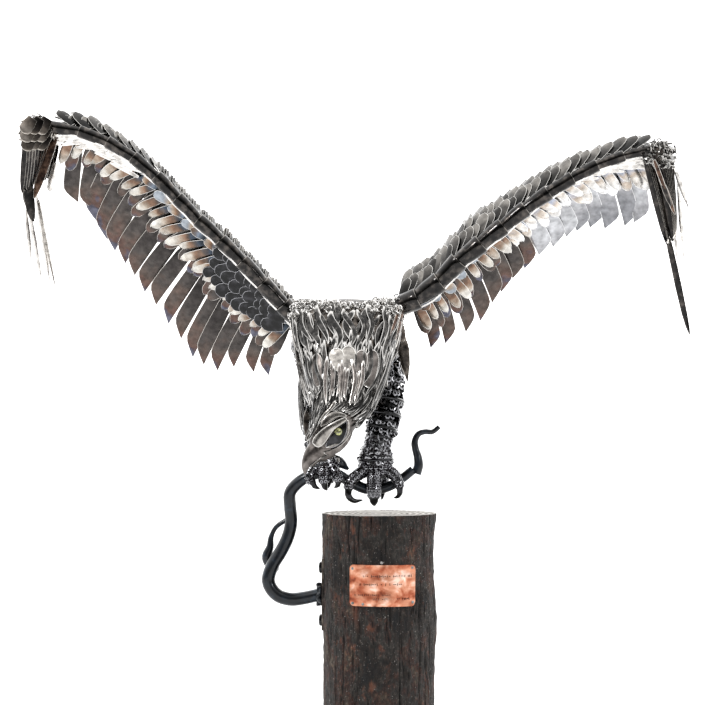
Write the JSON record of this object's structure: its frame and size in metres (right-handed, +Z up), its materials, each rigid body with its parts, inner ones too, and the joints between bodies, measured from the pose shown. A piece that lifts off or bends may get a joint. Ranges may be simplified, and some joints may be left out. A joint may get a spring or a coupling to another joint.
{
  "type": "scrap metal eagle sculpture",
  "caption": "Welded scrap-steel eagle with raised wings, head lowered, gripping a bent-pipe snake that is fixed to a charred timber post.",
  "frame": {"origin": "centre of the post's flat underside, on the ground", "axes": "+Z up; the eagle faces -Y with its right wing on the -X side and its left wing on the +X side"},
  "size_m": [2.0062, 1.0321, 1.9348],
  "materials": {
    "timber": "charred and weathered, deep vertical checks",
    "copper": "hand-cut copper sheet, lightly tarnished",
    "zinc": "dull galvanised",
    "painted_pipe": "blue-black paint, semi-gloss",
    "dark_steel": "blackened mild steel, oiled",
    "tinted_steel": "heat-tinted stainless sheet",
    "eye_glass": "polished"
  },
  "bodies": {
    "root": {"timber_post": "timber", "copper_plaque": "copper", "mounting_plate": "zinc", "upper_coach_bolt": "zinc", "lower_coach_bolt": "zinc", "snake_body": "painted_pipe", "snake_tail": "painted_pipe", "snake_head": "painted_pipe", "snake_side_shoot": "painted_pipe", "eagle_body": "dark_steel", "eagle_neck": "dark_steel", "eagle_head": "dark_steel", "eagle_beak": "dark_steel", "left_eye": "eye_glass", "right_eye": "eye_glass", "eagle_tail": "tinted_steel", "right_leg": "dark_steel", "left_leg": "dark_steel", "right_foot": "dark_steel", "left_foot": "dark_steel", "right_wing_pipe": "dark_steel", "right_wing_coverts": "tinted_steel", "right_wing_tip": "dark_steel", "right_flight_feather_01": "tinted_steel", "right_flight_feather_02": "tinted_steel", "right_flight_feather_03": "tinted_steel", "right_flight_feather_04": "tinted_steel", "right_flight_feather_05": "tinted_steel", "right_flight_feather_06": "tinted_steel", "right_flight_feather_07": "tinted_steel", "right_flight_feather_08": "tinted_steel", "right_flight_feather_09": "tinted_steel", "right_flight_feather_10": "tinted_steel", "right_flight_feather_11": "tinted_steel", "right_flight_feather_12": "tinted_steel", "right_flight_feather_13": "tinted_steel", "right_flight_feather_14": "tinted_steel", "right_flight_feather_15": "tinted_steel", "right_flight_feather_16": "tinted_steel", "right_flight_feather_17": "tinted_steel", "left_wing_pipe": "dark_steel", "left_wing_coverts": "tinted_steel", "left_wing_tip": "dark_steel", "left_flight_feather_01": "tinted_steel", "left_flight_feather_02": "tinted_steel", "left_flight_feather_03": "tinted_steel", "left_flight_feather_04": "tinted_steel", "left_flight_feather_05": "tinted_steel", "left_flight_feather_06": "tinted_steel", "left_flight_feather_07": "tinted_steel", "left_flight_feather_08": "tinted_steel", "left_flight_feather_09": "tinted_steel", "left_flight_feather_10": "tinted_steel", "left_flight_feather_11": "tinted_steel", "left_flight_feather_12": "tinted_steel", "left_flight_feather_13": "tinted_steel", "left_flight_feather_14": "tinted_steel", "left_flight_feather_15": "tinted_steel", "left_flight_feather_16": "tinted_steel"}
  },
  "joints": []
}
